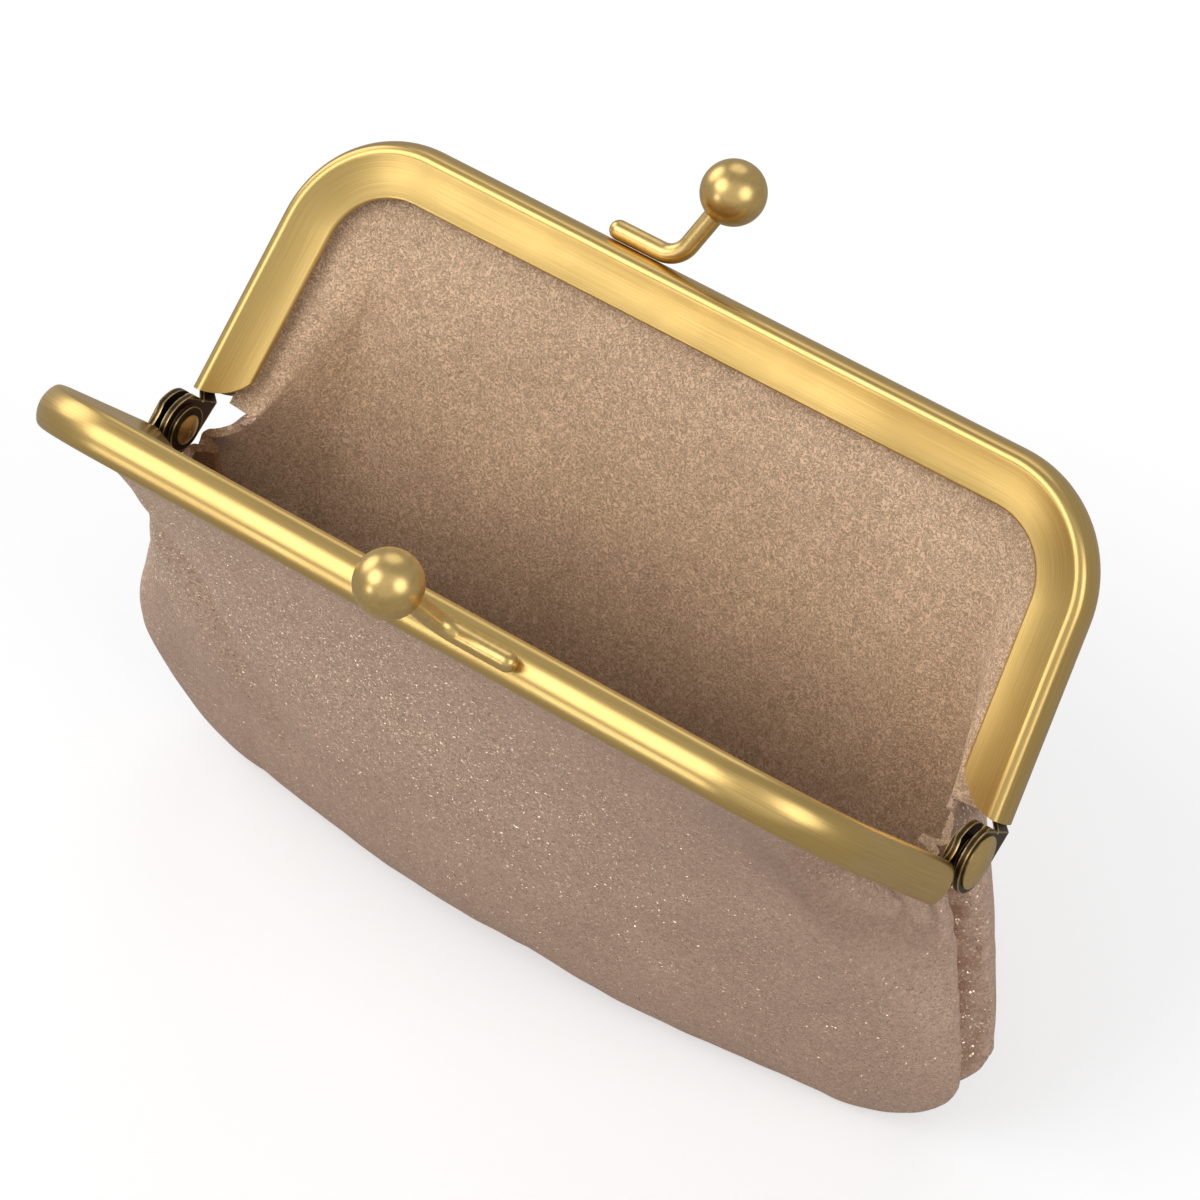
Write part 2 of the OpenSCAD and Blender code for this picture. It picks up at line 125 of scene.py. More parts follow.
MOUTH_ARM = ARM_LEN - CHANNEL_START / math.cos(LEAN)
MOUTH_ARC = MOUTH_R * (math.pi / 2 - LEAN)
MOUTH_HALF = MOUTH_ARM + MOUTH_ARC + CORNER_P
SEAM_ARC = BAG_CORNER_R * math.pi / 2
SEAM_HALF = SEAM_STRAIGHT + SEAM_ARC + SIDE_X - BAG_CORNER_R
UP = np.array([0, 0, 1.0])


# Mesh helpers
def make(name, points, faces, materials, uv=None, index=None, sharp=None):
    """A mesh object from points in millimetres. uv has a pair per face corner, index a material per face."""
    mesh = bpy.data.meshes.new(name)
    mesh.from_pydata((np.asarray(points) * MM).tolist(), [], faces)
    for m in materials:
        mesh.materials.append(m)
    if uv is not None:
        layer = mesh.uv_layers.new(name="flat")
        layer.data.foreach_set("uv", np.asarray(uv, dtype=np.float32).ravel())
    if index is not None:
        mesh.polygons.foreach_set("material_index", np.asarray(index, dtype=np.int32))
    mesh.polygons.foreach_set("use_smooth", np.ones(len(mesh.polygons), dtype=bool))
    mesh.validate()
    mesh.update()
    if sharp is not None:
        mesh.set_sharp_from_angle(angle=math.radians(sharp))
    obj = bpy.data.objects.new(name, mesh)
    bpy.context.scene.collection.objects.link(obj)
    return obj


def grid_faces(rows, cols, closed=False, first=0, flip=False):
    """Quads over a grid of rows x cols points, closed round its columns if asked."""
    faces = []
    for i in range(rows - 1):
        for j in range(cols if closed else cols - 1):
            k = (j + 1) % cols
            quad = [first + row * cols + col for row, col in ((i, j), (i, k), (i + 1, k), (i + 1, j))]
            faces.append(quad[::-1] if flip else quad)
    return faces


def placed(points, side):
    """Points (p, q, m) of a half, turned to its open tilt."""
    points = np.asarray(points, dtype=float)
    p, q, m = points[..., 0], points[..., 1], points[..., 2]
    tilt = FRONT_TILT if side == "front" else BACK_TILT
    y = q * math.sin(tilt) + m * math.cos(tilt)
    z = HINGE_H + q * math.cos(tilt) - m * math.sin(tilt)
    return np.stack([p, -y, z] if side == "front" else [-p, y, z], axis=-1)


def unit(v):
    return v / np.maximum(np.linalg.norm(v, axis=-1, keepdims=True), 1e-9)


def smooth(x, a, b):
    """0 before a, 1 after b, easy in between."""
    t = np.clip((np.asarray(x, dtype=float) - a) / (b - a), 0, 1)
    return t * t * (3 - 2 * t)


def plateau(x, a, b, c, d):
    """1 from b to c, 0 before a and after d."""
    return smooth(x, a, b) * (1 - smooth(x, c, d))


def waves(u, v, length, seed, count=14, spread=0.45):
    """Soft noise of about -1 to 1 over a plane, with features of the given length."""
    rng = np.random.default_rng(seed)
    total = np.zeros(np.broadcast(u, v).shape)
    for _ in range(count):
        a, phase = rng.uniform(0, 2 * math.pi, 2)
        k = 2 * math.pi / (length * rng.uniform(1 - spread, 1 + spread))
        total += np.sin(k * (u * math.cos(a) + v * math.sin(a)) + phase)
    return total / math.sqrt(count)


# Materials
def material(name):
    mat = bpy.data.materials.new(name)
    mat.use_nodes = True
    return mat, mat.node_tree, mat.node_tree.nodes["Principled BSDF"]


def put(tree, node, **values):
    """Sets or links a node's inputs, by name or by number as in0. Keys that name no input set a property."""
    for key, value in values.items():
        name = key.replace("_", " ")
        if key.startswith("in"):
            target = node.inputs[int(key[2:])]
        elif name in node.inputs:
            target = node.inputs[name]
        else:
            setattr(node, key, value)
            continue
        if isinstance(value, bpy.types.NodeSocket):
            tree.links.new(value, target)
        else:
            target.default_value = value


def add(tree, kind, **values):
    """A new node of that kind, with its inputs and properties set."""
    node = tree.nodes.new(kind)
    put(tree, node, **values)
    return node


def times(tree, first, second):
    """One colour multiplied by another."""
    # A mix node has its colours at inputs 6 and 7 and its result at output 2
    return add(tree, "ShaderNodeMix", data_type="RGBA", blend_type="MULTIPLY", in0=1.0, in6=first,
               in7=second).outputs[2]


def ramp(tree, fac, stops):
    """A colour that runs through the stops as fac rises."""
    node = tree.nodes.new("ShaderNodeValToRGB")
    tree.links.new(fac, node.inputs["Fac"])
    band = node.color_ramp.elements
    while len(band) < len(stops):
        band.new(0.5)
    for element, (at, colour) in zip(band, stops):
        element.position = at
        element.color = (*colour, 1)
    return node.outputs["Color"]


def linear(r, g, b):
    """Linear colour of an 8-bit display colour."""
    return tuple(c / 255 / 12.92 if c < 10.3 else ((c / 255 + 0.055) / 1.055) ** 2.4 for c in (r, g, b))


def brass_finish(name, along_uv, tones):
    """Satin brass, brushed along the length of the piece, between a dark and a light tone."""
    mat, tree, bsdf = material(name)
    own = add(tree, "ShaderNodeTexCoord").outputs["Object"]
    if along_uv:
        place, stretch = add(tree, "ShaderNodeUVMap", uv_map="flat").outputs["UV"], (55, 8000, 1)
        tangent = add(tree, "ShaderNodeTangent", direction_type="UV_MAP", uv_map="flat")
        put(tree, bsdf, Tangent=tangent.outputs["Tangent"], Anisotropic=0.45)
    else:
        place, stretch = own, (900, 350, 900)
    lines = add(tree, "ShaderNodeMapping", Vector=place, Scale=stretch).outputs["Vector"]
    streak = add(tree, "ShaderNodeTexNoise", Vector=lines, Scale=1.0, Detail=4.0,
                 Roughness=0.65).outputs["Fac"]
    cloud = add(tree, "ShaderNodeTexNoise", Vector=own, Scale=130.0, Detail=4.0, Roughness=0.6)
    tone = ramp(tree, streak, [(0.3, tones[0]), (0.7, tones[1])])
    rough = add(tree, "ShaderNodeMapRange", Value=cloud.outputs["Fac"], To_Min=0.25, To_Max=0.36)
    bump = add(tree, "ShaderNodeBump", Height=streak, Strength=0.06, Distance=0.00003)
    put(tree, bsdf, Base_Color=tone, Metallic=1.0, Roughness=rough.outputs["Result"],
        Normal=bump.outputs["Normal"])
    return mat


def dark_faced_finish():
    """Brass of the hinge pieces, dark over its faces and bright along its edges."""
    mat, tree, bsdf = material("dark-faced brass")
    bevel = add(tree, "ShaderNodeBevel", samples=4, Radius=0.00035)
    shape = add(tree, "ShaderNodeNewGeometry")
    match = add(tree, "ShaderNodeVectorMath", operation="DOT_PRODUCT", in0=bevel.outputs["Normal"],
                in1=shape.outputs["True Normal"])
    own = add(tree, "ShaderNodeTexCoord").outputs["Object"]
    cloud = add(tree, "ShaderNodeTexNoise", Vector=own, Scale=900.0, Detail=4.0, Roughness=0.7)
    worn = add(tree, "ShaderNodeMath", operation="MULTIPLY_ADD", in0=cloud.outputs["Fac"], in1=-0.05,
               in2=match.outputs["Value"])
    # Dark over the flat faces, bright brass along the rounded edges
    tone = ramp(tree, worn.outputs["Value"], [(0.86, (0.78, 0.57, 0.24)), (0.955, (0.05, 0.03, 0.015))])
    put(tree, bsdf, Base_Color=tone, Metallic=0.9, Roughness=0.38)
    return mat


def rest_place(tree):
    """Where a point of a soft piece lies at rest, so that its grain stays on it in every pose."""
    return add(tree, "ShaderNodeAttribute", attribute_name="rest").outputs["Vector"]


def curly_lines(tree, place, scale, distortion):
    """Fine curly lines: 0 along them, rising to 1 beside them."""
    noise = add(tree, "ShaderNodeTexNoise", Vector=place, Scale=scale, Detail=2.0, Roughness=0.6,
                Distortion=distortion)
    centred = add(tree, "ShaderNodeMath", operation="SUBTRACT", in0=noise.outputs["Fac"], in1=0.5)
    apart = add(tree, "ShaderNodeMath", operation="ABSOLUTE", in0=centred.outputs["Value"])
    return add(tree, "ShaderNodeMapRange", Value=apart.outputs["Value"], From_Max=0.12).outputs["Result"]


def hide_colour(tree, place, skin, worn):
    """Bronze tone of the hide, darker in its curly lines, with painted shade where the shading value is below
    nought and painted light where it is above.
    """
    cloud = add(tree, "ShaderNodeTexNoise", Vector=place, Scale=70.0, Detail=5.0, Roughness=0.6)
    tone = ramp(tree, skin,
                [(0.0, (0.42, 0.275, 0.205)), (0.3, (0.6, 0.41, 0.31)), (1.0, (0.67, 0.465, 0.355))])
    tint = ramp(tree, cloud.outputs["Fac"], [(0.3, (0.93, 0.92, 0.91)), (0.7, (1.06, 1.05, 1.04))])
    # Painted shade darkens the hide where the value is low, and painted light brightens it where it is high
    shading_share = add(tree, "ShaderNodeMapRange", Value=worn, From_Min=-1.0)
    painted_shading_tint = ramp(tree, shading_share.outputs["Result"],
                   [(0.0, (0.77, 0.755, 0.74)), (0.5, (1.0, 1.0, 1.0)), (1.0, (1.14, 1.12, 1.11))])
    return times(tree, times(tree, tone, tint), painted_shading_tint)


def hide_height(tree, place, skin):
    """Relief of the hide: its curly lines, its pebbles and a fine grain."""
    warp = add(tree, "ShaderNodeTexNoise", Vector=place, Scale=900.0, Detail=2.0)
    shifted = add(tree, "ShaderNodeVectorMath", operation="SCALE", in0=warp.outputs["Color"], Scale=0.0006)
    bent = add(tree, "ShaderNodeVectorMath", operation="ADD", in0=place, in1=shifted.outputs["Vector"])
    pebble = add(tree, "ShaderNodeTexVoronoi", Vector=bent.outputs["Vector"], Scale=2100.0)
    fine = add(tree, "ShaderNodeTexNoise", Vector=place, Scale=1700.0, Detail=3.0, Roughness=0.6)
    grain = add(tree, "ShaderNodeMath", operation="MULTIPLY_ADD", in0=pebble.outputs["Distance"], in1=-0.4,
                in2=skin)
    return add(tree, "ShaderNodeMath", operation="ADD", in0=grain.outputs["Value"],
               in1=fine.outputs["Fac"]).outputs["Value"]


def hide_finish():
    """Pebbled hide with a bronze metallic finish: fine grain with scattered glints."""
    mat, tree, bsdf = material("bronze hide")
    place = rest_place(tree)
    skin = curly_lines(tree, place, 1250.0, 1.3)
    # Painted light and shade of the hide, kept on the mesh
    worn = add(tree, "ShaderNodeAttribute", attribute_name="worn").outputs["Fac"]
    flake = add(tree, "ShaderNodeTexVoronoi", Vector=place, Scale=4200.0).outputs["Color"]
    # The flakes that glint: few of them, and more in the band of painted light
    chance = add(tree, "ShaderNodeSeparateColor", Color=flake)
    likely = add(tree, "ShaderNodeMath", operation="MULTIPLY_ADD", in0=worn, in1=0.3,
                 in2=chance.outputs["Red"])
    glint = add(tree, "ShaderNodeMapRange", Value=likely.outputs["Value"], From_Min=0.86,
                From_Max=0.88).outputs["Result"]
    colour = add(tree, "ShaderNodeMix", data_type="RGBA", in0=glint, in6=hide_colour(tree, place, skin, worn),
                 in7=(1.0, 0.79, 0.58, 1))
    metal = add(tree, "ShaderNodeMapRange", Value=glint, To_Min=0.3, To_Max=1.0)
    rough = add(tree, "ShaderNodeMapRange", Value=glint, To_Min=0.48, To_Max=0.28)
    bump = add(tree, "ShaderNodeBump", Height=hide_height(tree, place, skin), Strength=0.5, Distance=0.00006)
    # Each glinting flake is turned its own way
    centred = add(tree, "ShaderNodeVectorMath", operation="SUBTRACT", in0=flake, in1=(0.5, 0.5, 0.5))
    lean = add(tree, "ShaderNodeMath", operation="MULTIPLY", in0=glint, in1=2.0)
    turned = add(tree, "ShaderNodeVectorMath", operation="SCALE", in0=centred.outputs["Vector"],
                 Scale=lean.outputs["Value"])
    tipped = add(tree, "ShaderNodeVectorMath", operation="ADD", in0=bump.outputs["Normal"],
                 in1=turned.outputs["Vector"])
    facing = add(tree, "ShaderNodeVectorMath", operation="NORMALIZE", in0=tipped.outputs["Vector"])
    put(tree, bsdf, Base_Color=colour.outputs[2], Metallic=metal.outputs["Result"],
        Roughness=rough.outputs["Result"], Normal=facing.outputs["Vector"])
    return mat


def suede_finish():
    """Napped flesh side, with painted shade that darkens it towards the depth of the bag."""
    mat, tree, bsdf = material("suede")
    place = rest_place(tree)
    curls = curly_lines(tree, place, 1350.0, 1.8)
    cloud = add(tree, "ShaderNodeTexNoise", Vector=place, Scale=80.0, Detail=4.0, Roughness=0.55)
    fleck = ramp(tree, curls,
                 [(0.0, (0.41, 0.275, 0.17)), (0.4, (0.7, 0.495, 0.33)), (1.0, (0.95, 0.7, 0.49))])
    tint = ramp(tree, cloud.outputs["Fac"], [(0.3, (0.93, 0.92, 0.91)), (0.7, (1.03, 1.03, 1.02))])
    # Painted shade: the suede's colour darkens towards the depth of the bag
    depth = add(tree, "ShaderNodeAttribute", attribute_name="deep").outputs["Fac"]
    shade = ramp(tree, depth, [(0.0, (1.0, 1.0, 1.0)), (1.0, (0.2, 0.135, 0.085))])
    bump = add(tree, "ShaderNodeBump", Height=curls, Strength=0.5, Distance=0.0001)
    put(tree, bsdf, Base_Color=times(tree, times(tree, fleck, tint), shade), Roughness=0.95,
        Specular_IOR_Level=0.1, Sheen_Weight=0.1, Normal=bump.outputs["Normal"])
    return mat


def paper_finish():
    """Brown paper of the twisted cords."""
    mat, tree, bsdf = material("twisted paper")
    place = add(tree, "ShaderNodeTexCoord").outputs["Object"]
    twist = add(tree, "ShaderNodeTexWave", Vector=place, Scale=300.0, Distortion=2.0)
    colour = ramp(tree, twist.outputs["Fac"], [(0.2, linear(176, 150, 112)), (0.8, linear(206, 184, 148))])
    put(tree, bsdf, Base_Color=colour, Roughness=0.9)
    return mat


BRASS = brass_finish("brushed brass", True, ((0.55, 0.37, 0.115), (0.73, 0.515, 0.2)))
BRASS_SMALL = brass_finish("satin brass", False, ((0.62, 0.425, 0.15), (0.74, 0.53, 0.215)))
DARK_FACED = dark_faced_finish()
HIDE = hide_finish()
SUEDE = suede_finish()
PAPER = paper_finish()


# Brass frames
def arc(centre, r, a0, a1, steps):
    """Points of an arc from angle a0 to a1."""
    a = np.linspace(a0, a1, steps + 1)
    return np.stack([centre[0] + r * np.cos(a), centre[1] + r * np.sin(a)], axis=1)


def channel_side(depth):
    """One face of the bent sheet, from the outer wall round the spine and crest to the mouth, as (w, m)."""
    r, reach = ROLL_R - depth, COVE_R + depth
    cove_end = math.pi - math.acos((COVE[0] - FLANGE_W) / reach)
    wall = np.stack([np.linspace(FLANGE_W, WALL_END, 8), np.full(8, WALL_M - depth)], axis=1)
    return np.concatenate([
        wall,
        arc((0, OUTER_ROLL_M), r, math.pi / 2, math.pi - SPINE_TURN, 10),
        arc((SPINE_W, MID_M), SPINE_R - depth, math.pi - SPINE_TURN, math.pi + SPINE_TURN, 14)[1:],
        arc((0, CREST_M), r, math.pi + SPINE_TURN, 1.5 * math.pi + COVE_START, 20)[1:],
        arc(COVE, reach, math.pi / 2 + COVE_START, cove_end, 16)[1:]])


def with_rims(side, other):
    """Rounds both free ends of a face of the sheet towards its other face."""
    ends = []
    for e, before, far in ((side[0], side[1], other[0]), (side[-1], side[-2], other[-1])):
        t, n = unit(e - before), unit(far - e)
        ends.append([e - EDGE_R * t, e - EDGE_R * EDGE_MIDDLE * t + EDGE_R * EDGE_MIDDLE * n, e + EDGE_R * n])
    return np.concatenate([ends[0][::-1], side[1:-1], ends[1]])


def arm_start(w):
    """Distance up the crest line where the walls start, at distance w inwards from it."""
    along, inward = np.array([-math.sin(LEAN), math.cos(LEAN)]), np.array([-math.cos(LEAN), -math.sin(LEAN)])
    rim = np.array([HALF_W - math.tan(LEAN) * CHANNEL_START + SPINE_REACH / 2, CHANNEL_START + END_R])
    from_rim = np.array([HALF_W, 0]) + w * inward - rim
    b, c = from_rim @ along, from_rim @ from_rim - END_R ** 2
    a = -b - math.sqrt(max(b * b - c, 0))
    if (from_rim + a * along)[0] > 0:
        a = (CHANNEL_START - w * inward[1]) / along[1]
    return a


def crest_run(w, start, arm_steps=26, corner_steps=26, bar_steps=44):
    """Points (p, q) of a line that keeps the distance w inwards from the crest, right arm to left arm."""
    a = start + (ARM_LEN - start) * (np.linspace(0, 1, arm_steps) ** 1.5)
    c, s = math.cos(LEAN), math.sin(LEAN)
    arm = np.stack([HALF_W - a * s - w * c, a * c - w * s], axis=1)
    corner = arc((CORNER_P, CORNER_Q), CORNER_R - w, LEAN, math.pi / 2, corner_steps)[1:]
    bar = np.stack([np.linspace(CORNER_P, 0, bar_steps)[1:], np.full(bar_steps - 1, FRAME_H - w)], axis=1)
    right = np.concatenate([arm, corner, bar])
    left = right[-2::-1] * [-1, 1]
    return np.concatenate([right, left])


def frame_piece(name, side):
    """Hollow brass channel of one half, swept round arms, corners and bar."""
    outer, inner = channel_side(0), channel_side(SHEET_T)
    loop = np.concatenate([with_rims(outer, inner), with_rims(inner, outer)[::-1]])
    half = len(loop) // 2
    runs = np.stack([crest_run(w, arm_start(w)) for w, m in loop], axis=1)
    stations = runs.shape[0]
    points = np.concatenate([runs, np.broadcast_to(loop[:, 1], (stations, len(loop)))[..., None]], axis=2)
    count = len(loop)
    faces = grid_faces(stations, count, closed=True, flip=True)
    # Both ends of the sheet, at the feet of the arms
    for row, turn in ((0, 1), (stations - 1, -1)):
        for j in range(half - 1):
            quad = [row * count + k for k in (j, j + 1, count - 2 - j, count - 1 - j)]
            faces.append(quad[::turn])
    middle = crest_run(0, 0)
    along = np.concatenate([[0], np.cumsum(np.linalg.norm(np.diff(middle, axis=0), axis=1))]) * MM
    across = np.concatenate([[0], np.cumsum(np.linalg.norm(np.diff(loop, axis=0), axis=1))]) * MM
    uv = [(along[v // count], across[v % count]) for f in faces for v in f]
    obj = make(name, placed(points, side).reshape(-1, 3), faces, [BRASS], uv=uv, sharp=35)
    weighted = obj.modifiers.new("even", "WEIGHTED_NORMAL")
    weighted.keep_sharp = True
    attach(obj, side + "_half")
    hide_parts(side + "_frame")
    return obj


# Kiss lock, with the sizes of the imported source, apart from how far the wire reaches into the ball
WIRE_R = 1.3
BALL_D = 8.5
BALL_SET_BACK = 2.6
BALL_RISE = 13.8
BALL_GAP = 0.15
SOLDER_GAP = 0.05
FOOT_OUT = 18.5
BEND_R = 3.6
NECK = math.radians(70)
NECK_IN = 1.2
FOOT_Q = FRAME_H + SPINE_REACH + SOLDER_GAP + WIRE_R
BALL_P = (BALL_D + BALL_GAP) / 2
BALL_Q = FRAME_H + BALL_RISE
CLASP_LEAN = math.atan2(MID_M - BALL_SET_BACK, BALL_Q - FOOT_Q)
BALL_V = math.hypot(BALL_Q - FOOT_Q, MID_M - BALL_SET_BACK)
BALL_RINGS, BALL_SIDES = 47, 96


def clasp_place(points, side):
    """Points of the clasp's own plane (x along the bar, y up the neck, z through the bar), put on a half."""
    points = np.asarray(points, dtype=float)
    x, y, z = points[..., 0], points[..., 1], points[..., 2]
    c, s = math.cos(CLASP_LEAN), math.sin(CLASP_LEAN)
    return placed(np.stack([x, FOOT_Q + y * c + z * s, MID_M - y * s + z * c], axis=-1), side)


def tube(line, radii, sides, place):
    """Round tube about a line in the clasp's plane, with closed ends."""
    line = np.asarray(line, dtype=float)
    along = unit(np.gradient(line, axis=0))
    across = np.stack([-along[:, 1], along[:, 0], np.zeros(len(line))], axis=1)
    a = np.linspace(0, 2 * math.pi, sides, endpoint=False)
    round_it = np.cos(a)[None, :, None] * across[:, None, :] + np.sin(a)[None, :, None] * UP
    rings = line[:, None, :] + np.asarray(radii)[:, None, None] * round_it
    faces = grid_faces(len(line), sides, closed=True)
    faces.append(list(range(sides))[::-1])
    faces.append([(len(line) - 1) * sides + k for k in range(sides)])
    return place(rings.reshape(-1, 3)), faces


def clasp_wire(side):
    """Bent wire of the clasp: foot with a rounded end along the bar, bend, and neck up into the ball."""
    bend_run = BEND_R * math.tan(NECK / 2)
    bend_start = BALL_P + BALL_V / math.tan(NECK) + bend_run
    neck_len = BALL_V / math.sin(NECK) - bend_run
    line, radii = [], []
    for a in np.radians(np.linspace(90, 0, 9)):
        line.append([FOOT_OUT - WIRE_R + WIRE_R * math.sin(a), 0, 0])
        radii.append(max(WIRE_R * math.cos(a), 0.02))
    for x in np.linspace(FOOT_OUT - WIRE_R, bend_start, 8)[1:-1]:
        line.append([x, 0, 0])
        radii.append(WIRE_R)
    for a in np.linspace(0, NECK, 20):
        line.append([bend_start - BEND_R * math.sin(a), BEND_R * (1 - math.cos(a)), 0])
        radii.append(WIRE_R)
    end = np.array(line[-1])
    for d in np.linspace(0, neck_len - BALL_D / 2 + NECK_IN, 6)[1:]:
        line.append(list(end + d * np.array([-math.cos(NECK), math.sin(NECK), 0])))
        radii.append(WIRE_R)
    points, faces = tube(line, radii, 40, lambda p: clasp_place(p, side))
    wire = make(side + "_clasp_wire", points, faces, [BRASS_SMALL], sharp=60)
    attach(wire, side + "_half")
    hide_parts(side + "_clasp_arm")


def clasp_knob(side):
    """Ball of the clasp, with its poles across the bar."""
    lat = np.linspace(0, math.pi, BALL_RINGS + 2)[1:-1]
    lon = np.linspace(0, 2 * math.pi, BALL_SIDES, endpoint=False)
    ring = np.stack([np.outer(np.sin(lat), np.cos(lon)), np.outer(np.sin(lat), np.sin(lon)),
                     np.outer(np.cos(lat), np.ones(BALL_SIDES))], axis=-1).reshape(-1, 3)
    ball = np.concatenate([ring, [[0, 0, 1], [0, 0, -1]]]) * BALL_D / 2 + [BALL_P, BALL_V, 0]
    faces = grid_faces(BALL_RINGS, BALL_SIDES, closed=True)
    pole = BALL_RINGS * BALL_SIDES
    last = pole - BALL_SIDES
    faces += [[pole, (j + 1) % BALL_SIDES, j] for j in range(BALL_SIDES)]
    faces += [[pole + 1, last + j, last + (j + 1) % BALL_SIDES] for j in range(BALL_SIDES)]
    knob = make(side + "_clasp_knob", clasp_place(ball, side), faces, [BRASS_SMALL])
    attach(knob, side + "_half")
    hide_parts(side + "_clasp_ball")


# Panels of hide
def mouth_points(d, w=MOUTH_W):
    """Mouth of the right half, d from the lower end of the arm: p, q and its outward direction."""
    d = np.asarray(d, dtype=float)
    out, r = MOUTH_W - w, MOUTH_R
    c, s = math.cos(LEAN), math.sin(LEAN)
    a = np.clip(LEAN + (d - MOUTH_ARM) / r, LEAN, math.pi / 2)
    on_arm = np.minimum(d - MOUTH_ARM, 0)
    on_bar = np.maximum(d - MOUTH_ARM - MOUTH_ARC, 0)
    p = CORNER_P + r * np.cos(a) - on_arm * s - on_bar
    q = CORNER_Q + r * np.sin(a) + on_arm * c
    n = np.stack([np.cos(a), np.sin(a)], axis=-1)
    return p + out * n[..., 0], q + out * n[..., 1], n


def seam_points(d):
    """Seam of the right half, d below its top: x, z from the hinge axis and its outward direction."""
    d = np.asarray(d, dtype=float)
    rest = np.clip(1 - d / SEAM_STRAIGHT, 0, 1)
    spread = SIDE_X - SEAM_TOP_X
    slope = spread * SEAM_BEND * rest ** (SEAM_BEND - 1) / SEAM_STRAIGHT
    a = np.clip((d - SEAM_STRAIGHT) / BAG_CORNER_R, 0, math.pi / 2)
    on_base = np.maximum(d - SEAM_STRAIGHT - SEAM_ARC, 0)
    on_side = d < SEAM_STRAIGHT
    x = np.where(on_side, SIDE_X - spread * rest ** SEAM_BEND,
                 SIDE_X - BAG_CORNER_R * (1 - np.cos(a)) - on_base)
    z = np.where(on_side, -SEAM_TOP_DROP - d, SEAM_BOTTOM + BAG_CORNER_R * (1 - np.sin(a)))
    n = np.where(on_side[..., None], unit(np.stack([np.ones_like(slope), slope], axis=-1)),
                 np.stack([np.cos(a), -np.sin(a)], axis=-1))
    return x, z, n


def tilted(tilt, p, q, m):
    """Points or directions (p, q, m) of a half turned by its tilt, from the hinge axis."""
    p, q, m = np.broadcast_arrays(p, q, m)
    y = -q * math.sin(tilt) - m * math.cos(tilt)
    return np.stack([p, y, q * math.cos(tilt) - m * math.sin(tilt)], axis=-1)


def hang(tilt, s, t):
    """Middle of the hide from the hinge axis. s runs along the mouth from -1 to 1, t from mouth to seam."""
    side, far = np.where(s < 0, -1.0, 1.0), 1 - np.abs(s)
    p, q, n = mouth_points(far * MOUTH_HALF)
    x, z, sn = seam_points(far * SEAM_HALF)
    top = tilted(tilt, p, q, HIDE_M)
    inwards = tilted(tilt, -n[..., 0], -n[..., 1], 0.0)
    outwards = tilted(tilt, 0.0, 0.0, 1.0)
    foot = np.stack([x, np.zeros_like(x), z], axis=-1)
    way = np.linalg.norm(foot - top, axis=-1, keepdims=True)
    full = np.minimum(1, way / SHORT_WAY)
    leave = unit(LEAVE_IN * inwards - LEAVE_BACK * outwards - LEAVE_DOWN * UP)
    nx = sn[..., :1]
    arrive = unit(np.concatenate([SIDE_TURN * nx, -np.ones_like(nx), np.zeros_like(nx)], axis=-1))
    taper = 1 - BASE_TAPER * np.minimum(1, x / (SIDE_X - BAG_CORNER_R))[:, None] ** 2
    swell = BASE_SWELL * taper * way * (1 - nx) + SIDE_SWELL * nx * full
    # A cubic curve runs from each point of the mouth to its point of the seam
    c1, c2 = top + LEAVE_REACH * way * leave, foot + swell * arrive
    u, t = (1 - t)[None, :, None], t[None, :, None]
    at = (u ** 3 * top[:, None] + 3 * u * u * t * c1[:, None]
          + 3 * u * t * t * c2[:, None] + t ** 3 * foot[:, None])
    # The gusset's valley: both panels are drawn in beside the seam, behind a fuller ridge
    t = t[..., 0]
    ridge = VALLEY_RIDGE * np.exp(-((t - RIDGE_AT) / RIDGE_WIDTH) ** 2)
    drawn = ridge - VALLEY_IN * smooth(t, VALLEY_FROM, 1)
    at[..., 0] += nx * full * drawn
    at[..., 0] *= side[:, None]
    return at


def even_out(at, s, t, passes=150):
    """Spreads the grid's lines where they crowd together below the corners of the frame."""
    below = plateau(np.abs(s), 0.42, 0.52, 0.74, 0.84)
    share = 0.5 * below[:, None, None] * plateau(t, 0.02, 0.15, 0.85, 0.97)[None, :, None]
    for _ in range(passes):
        at = at + share * ((np.roll(at, 1, axis=0) + np.roll(at, -1, axis=0)) / 2 - at)
    return at


def hide_normals(at, tilt):
    """Outward directions over a grid of the hide, square to the channel along its mouth."""
    normal = -unit(np.cross(np.gradient(at, axis=0), np.gradient(at, axis=1)))
    normal[:, 0] = tilted(tilt, 0.0, 0.0, 1.0)
    return normal


# Points of the grid along the mouth and down the hide, and how much the lower rows crowd towards the seam
MOUTH_COLS, DROP_ROWS = 401, 96
ROW_CROWDING = 1.35
# Distances inwards from the crest line of the rows of hide that lie in the channel
CHANNEL_W = (2.9, 4.4, 5.5)
# Length of hide that t stands for in its wrinkles, and spacing of its rows in the flat map
DROP = 62.0
FLAT_ROW = 0.7
# Main folds: depth and width in millimetres, and points (x, y, z) of the line that each follows. A depth
# below nought is a bulge. Both halves have y as the front half has it.
FOLDS = {
    "front": [
        (-1.5, 5.0, [(-62, -8, 35), (-63, -6, 25), (-62, -6, 16)]),
        (1.5, 2.8, [(-50, -20, 66), (-47, -19.5, 59), (-43.7, -18.2, 50.9), (-40.5, -16, 38),
                    (-36.8, -15, 31.7), (-32.4, -13.8, 21.4)]),
        (0.5, 7.0, [(43, -22, 66), (50, -19, 63), (57, -9, 49)]),
        (0.35, 4.5, [(57.4, -8.4, 48.7), (50, -12.5, 41), (42, -15, 36)]),
        (0.4, 3.0, [(58.5, -9, 38), (51, -12, 28), (44, -13, 22)])],
    "back": [
        (0.3, 5.0, [(48, -22, 62), (42, -20, 50), (38, -17, 36)]),
        (0.7, 6.0, [(-40, -27, 72), (-38, -23, 58), (-34, -18, 40)])]}


